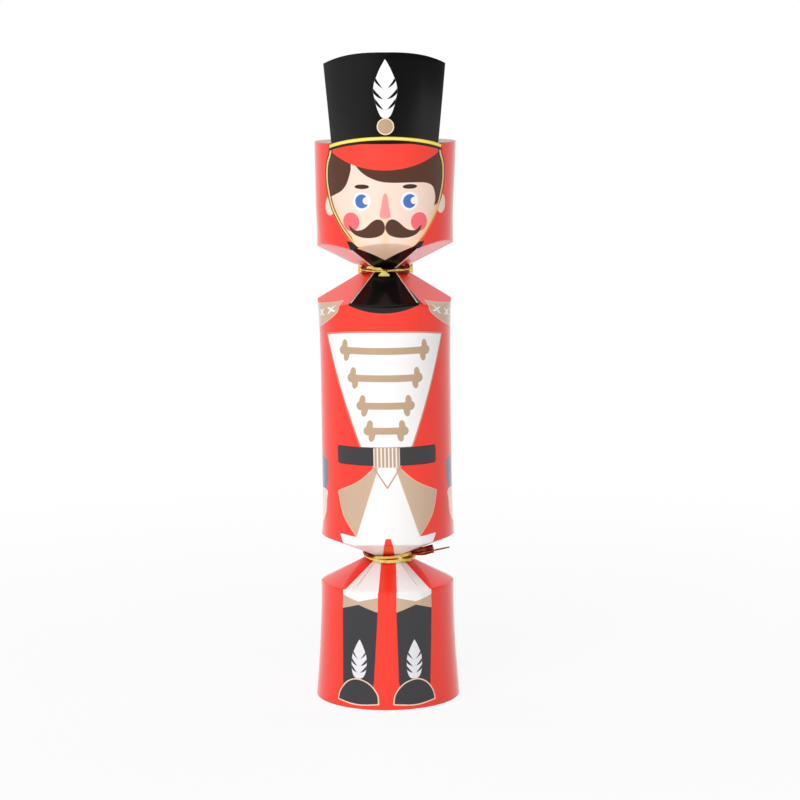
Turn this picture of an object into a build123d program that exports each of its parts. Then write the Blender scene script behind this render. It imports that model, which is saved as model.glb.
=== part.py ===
"""Christmas cracker printed as a toy soldier, standing on its foot.

Millimetres, +Z up, origin on the table at the centre of the foot's rim, face towards -Y.
One sheet of printed card is rolled into a tube. At each neck it is cut into flat panels that a gold
twist tie draws in to a hexagonal waist. The waists are perforated, so the card tears there, and the
sheet is modelled as its three torn pieces: the head, the barrel and the foot.
"""

import os
from math import cos, pi, radians, sin, sqrt

from build123d import *

# Printed card: its thickness, the tube and its flared open ends
card = 0.4
tube_radius = 24.2
head_rim_radius = 25.8
foot_rim_radius = 26.7

# Heights of the sections along the tube, measured to the corners of the creases
foot_length = 43.5
foot_funnel = 9.2
hem_funnel = 6.9
barrel_length = 89.2
shoulder_funnel = 10.6
head_funnel = 9.0
head_length = 37.4
hat_height = 32.2

# Tall hat, die-cut from the front wall above the head's rim
hat_base_width = 38.4
hat_top_width = 43.6
hat_crown_rise = 4.0

# Necks: flat panels with slits between them, meeting at a hexagonal waist
panels = 6
waist_radius = 7.6
waist_flat = 1.2
slit_width = 0.4
slit_stop = 2.0

# Lap seam at the back, closed with double-sided tape
seam_angle = 60.0
seam_gap = 0.3
flap_width = 11.0
flap_setback = 4.5
tape_thickness = 0.2
tape_width = 8.0
tape_setback = 2.0

# Gold twist ties: metallised ribbon gathered round a steel wire
tie_wall = 1.0
tie_height = 3.0
tie_corner = 3.8
tie_rounding = 0.5
wire_radius = 0.3
knot_width = 4.4
knot_height = 3.2
knot_drop = 1.0
knot_depth = 1.4
knot_slant = 65.0
tail_ribbon = 2.4
tail_thickness = 1.0
tail_rounding = 0.3
tail_length = 12.0
tail_bare_wire = 6.8
tail_root = -45.0
tail_heading = -20.0
tail_rise = 15.0

# Snap: two card strips that rub past each other inside a paper band
strip_width = 5.5
strip_overlap = 30.0
strip_gap = 0.3
strip_bend = 0.6
tab_length = 12.0
pad_thickness = 0.15
pad_length = 7.0
patch_thickness = 0.08
patch_length = 10.0
patch_width = 4.0
band_wall = 0.15
band_length = 20.0

# Paper crown, rolled up round the motto slip
crown_length = 62.0
crown_paper = 0.6
crown_bore = 4.4
crown_half_turns = 7
crown_notch = 7.0
crown_angle = 215.0
crown_band_wall = 0.25
crown_band_height = 9.0
motto_length = 50.0
motto_paper = 0.25
motto_bore = 2.2
motto_half_turns = 4
roll_gap = 0.25

# Spinning top, the gift
top_radius = 8.5
top_height = 7.0
top_edge = 1.2
top_hub = 3.4
spindle_radius = 1.8
spindle_point = 0.45
spindle_tip = 3.5
spindle_below = 9.0
spindle_above = 16.0
top_angle = 325.0

# Clearances: glued and taped faces, loose pieces and sliding pieces
glued = 0.02
taped = 0.05
loose = 0.3
sliding = 0.15
past = 1.0

# Levels of the creases, the waists and the rims
foot_crease = foot_length
lower_waist = foot_crease + foot_funnel
hem_crease = lower_waist + hem_funnel
shoulder_crease = hem_crease + barrel_length
upper_waist = shoulder_crease + shoulder_funnel
head_crease = upper_waist + head_funnel
head_rim = head_crease + head_length
hat_top = head_rim + hat_height

widest = max(tube_radius, head_rim_radius, foot_rim_radius) + past
half_panel = pi / panels
waist_apothem = waist_radius * cos(half_panel)
inner_apothem = waist_apothem - card
tie_apothem = waist_radius + sliding + tie_wall
wire_ring = waist_radius + sliding + tie_wall / 2


def ridge_slope(ridge_height):
    """Rise for each millimetre of radius along the edge between two panels."""
    return (ridge_height - waist_flat / 2) / (tube_radius - waist_radius)


def face_slope(ridge_height):
    """Rise for each millimetre of radius down the middle of a panel."""
    return ridge_slope(ridge_height) / cos(half_panel)


def panel_rise(ridge_height, apothem, inset):
    """Distance from the waist to a panel's face, set in by inset, where it is apothem from the axis."""
    slope = face_slope(ridge_height)
    return waist_flat / 2 + slope * (apothem - waist_apothem) + inset * sqrt(1 + slope**2)


def funnel(ridge_height, inset):
    """Three hexagons, as distance from the waist and corner radius: waist, end of flat, past the wall."""
    radius = waist_radius - inset / cos(half_panel)
    flat_end = panel_rise(ridge_height, waist_apothem - inset, inset)
    past_wall = panel_rise(ridge_height, widest, inset)
    return (0, radius), (flat_end, radius), (past_wall, widest / cos(half_panel))


def above(waist, ridge_height, inset=0.0):
    """Hexagons of the neck above a waist, from the waist upwards."""
    return [(waist + distance, radius) for distance, radius in funnel(ridge_height, inset)]


def below(waist, ridge_height, inset=0.0):
    """Hexagons of the neck below a waist, up to the waist."""
    return [(waist - distance, radius) for distance, radius in reversed(funnel(ridge_height, inset))]


def hexagonal_solid(levels):
    """Solid with flat faces through the hexagons, which are pairs of height and corner radius."""
    with BuildPart() as solid:
        for height, radius in levels:
            with BuildSketch(Plane.XY.offset(height)):
                RegularPolygon(radius, panels)
        loft(ruled=True)
    return solid.part


def creased_solid(levels, profile):
    """The hexagonal solid cut down to a round wall, whose profile is pairs of radius and height."""
    with BuildPart() as solid:
        add(hexagonal_solid(levels))
        with BuildSketch(Plane.XZ):
            with BuildLine():
                Polyline((0, profile[0][1]), *profile, (0, profile[-1][1]), close=True)
            make_face()
        revolve(axis=Axis.Z, mode=Mode.INTERSECT)
    return solid.part


def upright_plane(place, height):
    """Plane that faces the front, with its origin at the place and height."""
    return Plane((*place, height), x_dir=(1, 0, 0), z_dir=(0, -1, 0))


def radial_plane(angle):
    """Plane that holds the tube's axis and points outwards at the angle."""
    heading = radians(angle)
    return Plane((0, 0, 0), x_dir=(cos(heading), sin(heading), 0), z_dir=(sin(heading), -cos(heading), 0))


def lap_sector(low, high, inset, thickness, start, width):
    """Curved strip inside the wall, from low to high, which are pairs of radius and height."""
    turn = width / tube_radius * 180 / pi
    (low_radius, low_height), (high_radius, high_height) = low, high
    with BuildPart() as sector:
        with BuildSketch(radial_plane(start)):
            with BuildLine():
                Polyline(
                    (low_radius - inset, low_height),
                    (low_radius - inset - thickness, low_height),
                    (high_radius - inset - thickness, high_height),
                    (high_radius - inset, high_height),
                    close=True,
                )
            make_face()
        revolve(axis=Axis.Z, revolution_arc=turn)
    return sector.part


def glue_flap(low, high):
    """Edge of the sheet that runs in under the seam: a web down from the wall and the flap itself."""
    web_turn = card / tube_radius * 180 / pi
    gap_turn = seam_gap / 2 / tube_radius * 180 / pi
    start = seam_angle - gap_turn - web_turn
    with BuildPart() as flap:
        add(lap_sector(low, high, card / 2, card + tape_thickness + card / 2, start, card))
        add(lap_sector(low, high, card + tape_thickness, card, start, flap_width))
    return flap.part


def seam_tape(low, high):
    """Double-sided tape between the flap and the wall, on the far side of the seam."""
    start = seam_angle + tape_setback / tube_radius * 180 / pi
    return lap_sector(low, high, card + taped, tape_thickness - 2 * taped, start, tape_width)


def slit_cutter(ridge_height):
    """Thin blade from the axis out to just short of the crease, as tall as the neck."""
    with BuildPart() as blade:
        Box(tube_radius - slit_stop, slit_width, ridge_height, align=(Align.MIN, Align.CENTER, Align.MIN))
    return blade.part


def seam_cutter(bottom, top):
    """Thin blade across the wall at the seam, from bottom to top, meeting the slits of the necks."""
    start = tube_radius - slit_stop - past
    with BuildPart(Plane.XY.offset(bottom)) as blade:
        with PolarLocations(start, 1, start_angle=seam_angle):
            Box(widest - start, seam_gap, top - bottom, align=(Align.MIN, Align.CENTER, Align.MIN))
    return blade.part


os.makedirs("parts", exist_ok=True)


def save(piece, name):
    """Names a finished piece and writes its STEP file."""
    piece.part.label = name
    export_step(piece.part, f"parts/{name}.step")


# Barrel: the printed tube between the two waists
barrel_outside = creased_solid(
    above(lower_waist, hem_funnel) + below(upper_waist, shoulder_funnel),
    [(tube_radius, lower_waist), (tube_radius, upper_waist)],
)
barrel_inside = creased_solid(
    above(lower_waist, hem_funnel, card) + below(upper_waist, shoulder_funnel, card),
    [(tube_radius - card, lower_waist), (tube_radius - card, upper_waist)],
)
barrel_lap = (tube_radius, hem_crease + flap_setback), (tube_radius, shoulder_crease - flap_setback)

with BuildPart() as barrel_wrap:
    add(barrel_outside)
    add(barrel_inside, mode=Mode.SUBTRACT)
    with Locations((0, 0, upper_waist - shoulder_funnel)):
        with PolarLocations(0, panels):
            add(slit_cutter(shoulder_funnel), mode=Mode.SUBTRACT)
    with Locations((0, 0, lower_waist)):
        with PolarLocations(0, panels):
            add(slit_cutter(hem_funnel), mode=Mode.SUBTRACT)
    add(seam_cutter(lower_waist, upper_waist), mode=Mode.SUBTRACT)
    add(glue_flap(*barrel_lap))
save(barrel_wrap, "barrel_wrap")

with BuildPart() as barrel_seam_tape:
    add(seam_tape(*barrel_lap))
save(barrel_seam_tape, "barrel_seam_tape")


# Head: neck, flared wall and the tall hat that stands up from the front half of the rim
head_outside = creased_solid(
    above(upper_waist, head_funnel) + [(hat_top, widest / cos(half_panel))],
    [
        (tube_radius, upper_waist),
        (tube_radius, head_crease),
        (head_rim_radius, head_rim),
        (head_rim_radius, hat_top),
    ],
)
head_inside = creased_solid(
    above(upper_waist, head_funnel, card) + [(hat_top + past, widest / cos(half_panel))],
    [
        (tube_radius - card, upper_waist),
        (tube_radius - card, head_crease),
        (head_rim_radius - card, head_rim),
        (head_rim_radius - card, hat_top + past),
    ],
)
head_flare = (head_rim_radius - tube_radius) * flap_setback / head_length
head_lap = (
    (tube_radius + head_flare, head_crease + flap_setback),
    (head_rim_radius - head_flare, head_rim - flap_setback),
)

with BuildPart() as head_wrap:
    add(head_outside)
    add(head_inside, mode=Mode.SUBTRACT)
    with BuildSketch(Plane.XZ):
        with Locations((0, head_rim)):
            Rectangle(2 * widest, 2 * hat_height, align=(Align.CENTER, Align.MIN))
        with BuildLine():
            hat_left = Line((-hat_base_width / 2, head_rim), (-hat_top_width / 2, hat_top - hat_crown_rise))
            hat_right = Line((hat_base_width / 2, head_rim), (hat_top_width / 2, hat_top - hat_crown_rise))
            ThreePointArc(hat_left @ 1, (0, hat_top), hat_right @ 1)
            Line(hat_left @ 0, hat_right @ 0)
        make_face(mode=Mode.SUBTRACT)
    extrude(amount=widest, mode=Mode.SUBTRACT)
    with BuildSketch(Plane.XY.offset(head_rim)):
        Rectangle(2 * widest, widest, align=(Align.CENTER, Align.MIN))
    extrude(amount=hat_height, mode=Mode.SUBTRACT)
    with Locations((0, 0, upper_waist)):
        with PolarLocations(0, panels):
            add(slit_cutter(head_funnel), mode=Mode.SUBTRACT)
    add(seam_cutter(upper_waist, head_rim), mode=Mode.SUBTRACT)
    add(glue_flap(*head_lap))
save(head_wrap, "head_wrap")

with BuildPart() as head_seam_tape:
    add(seam_tape(*head_lap))
save(head_seam_tape, "head_seam_tape")


# Foot: flared tube that the cracker stands on, drawn in to the lower waist
foot_outside = creased_solid(
    [(0, widest / cos(half_panel))] + below(lower_waist, foot_funnel),
    [(foot_rim_radius, 0), (tube_radius, foot_crease), (tube_radius, lower_waist)],
)
foot_inside = creased_solid(
    [(-past, widest / cos(half_panel))] + below(lower_waist, foot_funnel, card),
    [
        (foot_rim_radius - card, -past),
        (foot_rim_radius - card, 0),
        (tube_radius - card, foot_crease),
        (tube_radius - card, lower_waist),
    ],
)
foot_flare = (foot_rim_radius - tube_radius) * flap_setback / foot_length
foot_lap = (
    (foot_rim_radius - foot_flare, flap_setback),
    (tube_radius + foot_flare, foot_crease - flap_setback),
)

with BuildPart() as foot_wrap:
    add(foot_outside)
    add(foot_inside, mode=Mode.SUBTRACT)
    with Locations((0, 0, lower_waist - foot_funnel)):
        with PolarLocations(0, panels):
            add(slit_cutter(foot_funnel), mode=Mode.SUBTRACT)
    add(seam_cutter(0, lower_waist), mode=Mode.SUBTRACT)
    add(glue_flap(*foot_lap))
save(foot_wrap, "foot_wrap")

with BuildPart() as foot_seam_tape:
    add(seam_tape(*foot_lap))
save(foot_seam_tape, "foot_seam_tape")


# Upper tie: ribbon gathered into the groove above the barrel, its ends knotted flat at the front
upper_groove = hexagonal_solid(
    below(upper_waist, shoulder_funnel, -sliding)[:2] + above(upper_waist, head_funnel, -sliding)[1:]
)

with BuildPart() as upper_tie_wire:
    with Locations((0, 0, upper_waist)):
        Torus(wire_ring, wire_radius)
save(upper_tie_wire, "upper_tie_wire")

with BuildPart() as upper_tie_foil:
    with BuildSketch(Plane.XY.offset(upper_waist - tie_height / 2)):
        RegularPolygon(tie_apothem / cos(half_panel), panels)
    extrude(amount=tie_height)
    fillet(upper_tie_foil.edges().filter_by(Axis.Z), tie_corner)
    fillet(upper_tie_foil.faces().filter_by(Axis.Z).edges(), tie_rounding)
    with BuildSketch(Plane.XZ.offset(tie_apothem - tie_wall / 4)):
        with Locations((0, upper_waist - knot_drop)):
            Trapezoid(knot_width, knot_height, knot_slant, rotation=180)
    extrude(amount=knot_depth)
    add(upper_groove, mode=Mode.SUBTRACT)
    with Locations((0, 0, upper_waist)):
        Torus(wire_ring, wire_radius + glued, mode=Mode.SUBTRACT)
save(upper_tie_foil, "upper_tie_foil")


# Lower tie: the same ribbon, with one end left sticking out to the right as a tail of ribbon and bare wire
lower_groove = hexagonal_solid(
    below(lower_waist, foot_funnel, -sliding)[:2] + above(lower_waist, hem_funnel, -sliding)[1:]
)
tail_start = (wire_ring * cos(radians(tail_root)), wire_ring * sin(radians(tail_root)), lower_waist)
tail_along = (
    cos(radians(tail_heading)) * cos(radians(tail_rise)),
    sin(radians(tail_heading)) * cos(radians(tail_rise)),
    sin(radians(tail_rise)),
)
tail_across = (sin(radians(tail_heading)), -cos(radians(tail_heading)), 0)
tail_plane = Plane(tail_start, x_dir=tail_across, z_dir=tail_along)


def lower_wire(radius, length):
    """Wire of the lower tie: the ring and its straight tail."""
    with BuildPart() as wire:
        with Locations((0, 0, lower_waist)):
            Torus(wire_ring, radius)
        with BuildSketch(tail_plane):
            Circle(radius)
        extrude(amount=length)
    return wire.part


with BuildPart() as lower_tie_wire:
    add(lower_wire(wire_radius, tail_length + tail_bare_wire))
save(lower_tie_wire, "lower_tie_wire")

with BuildPart() as lower_tie_foil:
    with BuildSketch(Plane.XY.offset(lower_waist - tie_height / 2)):
        RegularPolygon(tie_apothem / cos(half_panel), panels)
    extrude(amount=tie_height)
    fillet(lower_tie_foil.edges().filter_by(Axis.Z), tie_corner)
    fillet(lower_tie_foil.faces().filter_by(Axis.Z).edges(), tie_rounding)
    with BuildSketch(tail_plane):
        RectangleRounded(tail_thickness, tail_ribbon, tail_rounding)
    extrude(amount=tail_length)
    add(lower_groove, mode=Mode.SUBTRACT)
    add(lower_wire(wire_radius + glued, tail_length + tail_bare_wire), mode=Mode.SUBTRACT)
save(lower_tie_foil, "lower_tie_foil")


# Snap: the upper strip is glued in the head and the lower one in the foot; they overlap mid barrel
upper_strip_y = inner_apothem - 2 * sliding - band_wall - card / 2
lower_strip_y = upper_strip_y - card - strip_gap
middle = (hem_crease + shoulder_crease) / 2
tab_inset = card + pad_thickness + card / 2


def tab_point(ridge_height, strip_y, along, inset):
    """Point on a glued tab: distance from the axis and from the waist, along the panel past the bend."""
    apothem = strip_y + along / sqrt(1 + face_slope(ridge_height) ** 2)
    return apothem, panel_rise(ridge_height, apothem, inset)


head_bend = tab_point(head_funnel, upper_strip_y, 0, tab_inset)
head_tab = tab_point(head_funnel, upper_strip_y, tab_length, tab_inset)
foot_bend = tab_point(foot_funnel, lower_strip_y, 0, tab_inset)
foot_tab = tab_point(foot_funnel, lower_strip_y, tab_length, tab_inset)

with BuildPart() as snap_upper_strip:
    with BuildSketch(Plane.YZ):
        with BuildLine():
            FilletPolyline(
                (upper_strip_y, middle - strip_overlap / 2),
                (upper_strip_y, upper_waist + head_bend[1]),
                (head_tab[0], upper_waist + head_tab[1]),
                radius=strip_bend,
            )
        trace(line_width=card)
    extrude(amount=strip_width / 2, both=True)
save(snap_upper_strip, "snap_upper_strip")

with BuildPart() as snap_lower_strip:
    with BuildSketch(Plane.YZ):
        with BuildLine():
            FilletPolyline(
                (lower_strip_y, middle + strip_overlap / 2),
                (lower_strip_y, lower_waist - foot_bend[1]),
                (foot_tab[0], lower_waist - foot_tab[1]),
                radius=strip_bend,
            )
        trace(line_width=card)
    extrude(amount=strip_width / 2, both=True)
save(snap_lower_strip, "snap_lower_strip")


def pad_outline(ridge_height, strip_y):
    """Corners of the glue pad between a tab and its panel, as distance from the axis and from the waist."""
    near = tab_length - pad_length
    under = card + glued
    over = card + pad_thickness - glued
    start = tab_point(ridge_height, strip_y, near, tab_inset)[0]
    end = tab_point(ridge_height, strip_y, tab_length, tab_inset)[0]
    return [
        (start, panel_rise(ridge_height, start, under)),
        (end, panel_rise(ridge_height, end, under)),
        (end, panel_rise(ridge_height, end, over)),
        (start, panel_rise(ridge_height, start, over)),
    ]


with BuildPart() as snap_upper_pad:
    with BuildSketch(Plane.YZ.offset(-strip_width / 2)):
        with Locations((0, upper_waist)):
            Polygon(*pad_outline(head_funnel, upper_strip_y), align=None)
    extrude(amount=strip_width)
save(snap_upper_pad, "snap_upper_pad")

with BuildPart() as snap_lower_pad:
    with BuildSketch(Plane.YZ.offset(-strip_width / 2)):
        with Locations((0, lower_waist)):
            Polygon(*[(y, -rise) for y, rise in pad_outline(foot_funnel, lower_strip_y)], align=None)
    extrude(amount=strip_width)
save(snap_lower_pad, "snap_lower_pad")

with BuildPart() as snap_charge:
    with Locations((0, lower_strip_y + card / 2 + glued, middle)):
        Box(patch_width, patch_thickness, patch_length, align=(Align.CENTER, Align.MIN, Align.CENTER))
save(snap_charge, "snap_charge")

with BuildPart() as snap_striker:
    with Locations((0, upper_strip_y - card / 2 - glued, middle)):
        Box(patch_width, patch_thickness, patch_length, align=(Align.CENTER, Align.MAX, Align.CENTER))
save(snap_striker, "snap_striker")

band_front = lower_strip_y - card / 2 - glued
band_rear = upper_strip_y + card / 2 + sliding

with BuildPart() as snap_band:
    with BuildSketch(Plane.XY.offset(middle - band_length / 2)):
        with Locations((0, (band_front + band_rear) / 2)):
            Rectangle(strip_width + 2 * sliding + 2 * band_wall, band_rear - band_front + 2 * band_wall)
            Rectangle(strip_width + 2 * sliding, band_rear - band_front, mode=Mode.SUBTRACT)
    extrude(amount=band_length)
save(snap_band, "snap_band")


# Contents: each stands on the hem's panels, against the wall
def lean(angle, radius):
    """Place of a loose piece of this radius that leans on the wall at the angle."""
    reach = tube_radius - 2 * card - tape_thickness - 2 * loose - radius
    return reach * cos(radians(angle)), reach * sin(radians(angle))


def seat(place, radius):
    """Height at which a piece of this radius stands just clear of the hem's panels."""
    facing = [half_panel * (2 * side + 1) for side in range(panels)]
    apothem = max(place[0] * cos(turn) + place[1] * sin(turn) for turn in facing) + radius
    return lower_waist + panel_rise(hem_funnel, apothem, card) + loose


def rolled_paper(bore, paper, half_turns, length):
    """Paper rolled into a spiral of half circles, standing on the origin."""
    pitch = paper + roll_gap
    with BuildPart() as roll:
        with BuildSketch():
            with BuildLine():
                for turn in range(half_turns):
                    centre = (turn % 2 * pitch / 2, 0)
                    CenterArc(centre, bore + paper / 2 + turn * pitch / 2, 180 * (turn % 2), 180)
            trace(line_width=paper)
        extrude(amount=length)
    return roll.part


crown_radius = crown_bore + crown_paper + crown_half_turns // 2 * (crown_paper + roll_gap)
crown_band_radius = crown_radius + glued + crown_band_wall
motto_radius = motto_bore + motto_paper + motto_half_turns // 2 * (motto_paper + roll_gap)
crown_place = lean(crown_angle, crown_band_radius)
crown_seat = seat(crown_place, crown_band_radius)

crown_roll = rolled_paper(crown_bore, crown_paper, crown_half_turns, crown_length)
motto_roll = rolled_paper(motto_bore, motto_paper, motto_half_turns, motto_length)

with BuildPart() as paper_crown:
    with Locations((*crown_place, crown_seat)):
        add(crown_roll)
    with BuildSketch(upright_plane(crown_place, crown_seat + crown_length)):
        with BuildLine():
            Polyline(
                (-crown_radius, past),
                (-crown_radius, 0),
                (-crown_radius / 2, -crown_notch),
                (0, 0),
                (crown_radius / 2, -crown_notch),
                (crown_radius, 0),
                (crown_radius, past),
                close=True,
            )
        make_face()
    extrude(amount=2 * crown_radius, both=True, mode=Mode.SUBTRACT)
save(paper_crown, "paper_crown")

with BuildPart() as crown_band:
    with BuildSketch(Plane.XY.offset(crown_seat + crown_length / 2 - crown_band_height / 2)):
        with Locations(crown_place):
            Circle(crown_band_radius)
            Circle(crown_band_radius - crown_band_wall, mode=Mode.SUBTRACT)
    extrude(amount=crown_band_height)
save(crown_band, "crown_band")

with BuildPart() as motto_slip:
    with Locations((*crown_place, seat(crown_place, motto_radius))):
        add(motto_roll)
save(motto_slip, "motto_slip")

top_place = lean(top_angle, top_radius)
top_seat = seat(top_place, spindle_radius)
disc_level = top_seat + spindle_below

with BuildPart() as top_disc:
    with BuildSketch(upright_plane(top_place, disc_level)):
        with BuildLine():
            Polyline(
                (spindle_radius + glued, 0),
                (top_hub, 0),
                (top_radius, top_height / 2 - top_edge / 2),
                (top_radius, top_height / 2 + top_edge / 2),
                (top_hub, top_height),
                (spindle_radius + glued, top_height),
                close=True,
            )
        make_face()
    revolve(axis=Axis((*top_place, disc_level), (0, 0, 1)))
save(top_disc, "top_disc")

with BuildPart() as top_spindle:
    with Locations((*top_place, top_seat)):
        Cone(spindle_point, spindle_radius, spindle_tip, align=(Align.CENTER, Align.CENTER, Align.MIN))
    with Locations((*top_place, top_seat + spindle_tip)):
        Cylinder(
            spindle_radius,
            spindle_below - spindle_tip + top_height + spindle_above,
            align=(Align.CENTER, Align.CENTER, Align.MIN),
        )
save(top_spindle, "top_spindle")
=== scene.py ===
"""Christmas cracker printed as a toy soldier: the card, the gold ties, the snap and what the barrel holds."""

import bpy
import numpy as np
from mathutils import Matrix, Vector


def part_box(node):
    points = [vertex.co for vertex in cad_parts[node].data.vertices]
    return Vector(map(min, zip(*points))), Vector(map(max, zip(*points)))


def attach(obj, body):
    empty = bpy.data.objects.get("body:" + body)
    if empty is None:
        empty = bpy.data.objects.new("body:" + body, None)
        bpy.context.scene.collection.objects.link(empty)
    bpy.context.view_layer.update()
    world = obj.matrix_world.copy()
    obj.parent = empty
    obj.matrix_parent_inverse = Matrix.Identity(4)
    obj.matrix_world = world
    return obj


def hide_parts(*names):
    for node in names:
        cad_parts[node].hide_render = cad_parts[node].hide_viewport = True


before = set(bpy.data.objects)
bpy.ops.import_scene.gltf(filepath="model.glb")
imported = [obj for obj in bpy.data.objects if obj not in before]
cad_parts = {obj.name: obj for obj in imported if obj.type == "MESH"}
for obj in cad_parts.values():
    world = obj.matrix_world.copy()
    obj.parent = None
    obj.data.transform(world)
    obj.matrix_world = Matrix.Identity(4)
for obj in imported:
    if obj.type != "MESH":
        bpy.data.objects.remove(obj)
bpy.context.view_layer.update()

# Barrel: the middle of the tube, white card with a glossy print on its outside.
# The sheet is rolled round to a lap seam at the back, and at both ends six flat panels fold in to the waist.
mm = 0.001
card = 0.4
panels = 6
half_panel = np.pi / panels
waist_ridge = 7.6
waist_apothem = waist_ridge * np.cos(half_panel)
waist_flat = 0.6
slit_half = 0.13
fold = 0.3
corner_out = 0.5
corner_fade = 6.0
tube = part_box("barrel_wrap")[1].x / mm
lower_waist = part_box("barrel_wrap")[0].z / mm
upper_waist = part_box("barrel_wrap")[1].z / mm
slit_end = tube - 2.0


def panel_slope(funnel):
    """Rise of a neck's panels for each millimetre of reach, from the height of the ridges between them."""
    return (funnel - waist_flat) / (tube - waist_ridge) / np.cos(half_panel)


def sheet_columns(counts):
    """Panel middle and share of the half panel for each column, from the seam round to the seam again."""
    middle = np.repeat(np.radians(np.arange(-180, 180, 60)), counts)
    across = np.concatenate([np.linspace(-1, 1, count) for count in counts])
    return middle, across


def neck_shares(count):
    """Shares of the way from a waist to its crease, closer together at the crease; -1 is the waist's edge."""
    return np.concatenate(([-1.0], 1 - (1 - np.linspace(0, 1, count)) ** 1.6))


def crease_rise(delta, slope, bow):
    """Distance from the waist to the crease: the slope times the wall's reach past the waist. A bow of 1
    is the curve in which a flat panel meets the round wall, and 0 is level with the ridges."""
    level = np.cos(half_panel)
    return waist_flat + slope * (tube * (level + bow * (np.cos(delta) - level)) - waist_apothem)


def neck_rise(share, delta, slope, bow):
    """Distance from the waist at a share of the panel, with the short upright flat first."""
    up = np.maximum(share, 0)
    return np.where(share < 0, 0, waist_flat + up * (crease_rise(delta, slope, bow) - waist_flat))


def folded(wall, rise, delta, slope, bow):
    """Least of the wall's radius and the panel's, eased at the fold. The panel's grows evenly from the
    waist's flat side to the tube at the crease."""
    waist = waist_apothem / np.cos(delta)
    share = np.maximum(rise - waist_flat, 0) / (crease_rise(delta, slope, bow) - waist_flat)
    panel = waist + share * (tube - waist)
    return np.minimum(wall, panel) - fold * np.log1p(np.exp(-np.abs(wall - panel) / fold))


def corner_flare(delta, gap):
    """How far the wall stands out at the corners between two panels, fading with the gap from the crease."""
    return corner_out * np.exp(-np.maximum(gap, 0) / corner_fade) * (delta / half_panel) ** 4


def seam_ease(phi):
    """1 round the front and sides and 0 at the back, where the seam keeps the tube round."""
    return np.clip((np.cos(phi) + 0.8) / 0.6, 0, 1)


def ripple(phi, height, *waves):
    """How far the card is drawn in: a little everywhere, and more or less in slow waves, each a depth, a
    count round the tube and a run along it."""
    drawn_in = 0.06
    return sum((depth * np.sin(count * phi + height / run) for depth, count, run in waves), drawn_in)


def slit_angle(share):
    """Angle of half a slit at a share of the panel, as its half width over the ridge's radius."""
    ridge = waist_ridge + (tube - waist_ridge) * np.clip(share, 0, 1)
    return np.arcsin(slit_half / ridge), ridge


def panel_turn(share, across):
    """Angle of each point from its panel's middle, which leaves half a slit free on both sides."""
    return across[None, :] * (half_panel - slit_angle(share)[0][:, None])


def around(radius, phi, height):
    """Points at a radius, at an angle from the front towards +X, and at a height."""
    return np.stack((radius * np.sin(phi), -radius * np.cos(phi), height), -1)


def kept_cells(share, across):
    """Cells of the grid that are card: all but those that a slit opens between two panels."""
    ridge = slit_angle(share)[1]
    slit_rows = (ridge[:-1] + ridge[1:]) / 2 < slit_end
    between = across[1:] < across[:-1]
    return ~(slit_rows[:, None] & between[None, :])


def quad_mesh(name, points, quads, kind, finishes, shades):
    """Object with one smooth mesh of quads, a finish for each kind of face and a float attribute on the
    points for each shade."""
    mesh = bpy.data.meshes.new(name)
    mesh.from_pydata(points * mm, [], quads)
    for label, values in shades.items():
        layer = mesh.attributes.new(label, "FLOAT", "POINT")
        layer.data.foreach_set("value", np.ascontiguousarray(values, np.float32))
    mesh.polygons.foreach_set("material_index", np.ascontiguousarray(kind, np.int32))
    mesh.shade_smooth()
    for finish in finishes:
        mesh.materials.append(finish)
    piece = bpy.data.objects.new(name, mesh)
    bpy.context.scene.collection.objects.link(piece)
    return piece


def card_sheet(name, points, keep, thickness, finishes, plates):
    """Card of even thickness over a grid of outer points: the outer skin, an inner one set in along the
    vertex normals, and a strip along every open edge. Faces are of kind 0 outside, 1 inside and 2 at the
    cut edge."""
    rows, cols = points.shape[:2]
    index = np.arange(rows * cols).reshape(rows, cols)
    outer = np.stack((index[:-1, :-1], index[:-1, 1:], index[1:, 1:], index[1:, :-1]), -1)[keep]
    flat = points.reshape(-1, 3)
    a, b, c, d = (flat[outer[:, k]] for k in range(4))
    facing = np.cross(c - a, d - b)
    normal = np.zeros_like(flat)
    for k in range(4):
        np.add.at(normal, outer[:, k], facing)
    normal /= np.maximum(np.linalg.norm(normal, axis=1, keepdims=True), 1e-12)
    inner = flat - thickness * normal
    sides = np.concatenate([outer[:, [k, (k + 1) % 4]] for k in range(4)])
    keys = np.sort(sides, 1) @ np.array([rows * cols, 1])
    _, back, times = np.unique(keys, return_inverse=True, return_counts=True)
    edge = sides[times[back.ravel()] == 1]
    used = np.unique(outer)
    ring = np.unique(edge)
    place = np.zeros(rows * cols, int)
    place[used] = np.arange(len(used))
    turn = np.zeros(rows * cols, int)
    turn[ring] = np.arange(len(ring))
    skin = place[outer]
    lining = skin[:, ::-1] + len(used)
    start = 2 * len(used)
    p, q = turn[edge[:, 0]] + start, turn[edge[:, 1]] + start
    strip = np.stack((q, p, p + len(ring), q + len(ring)), -1)
    vertices = np.concatenate((flat[used], inner[used], flat[ring], inner[ring]))
    kind = np.repeat((0, 1, 2), (len(skin), len(lining), len(strip)))
    source = np.concatenate((used, used, ring, ring))
    shades = {label: values.ravel()[source] for label, values in plates.items()}
    return quad_mesh(name, vertices, np.concatenate((skin, lining, strip)), kind, finishes, shades)


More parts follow.
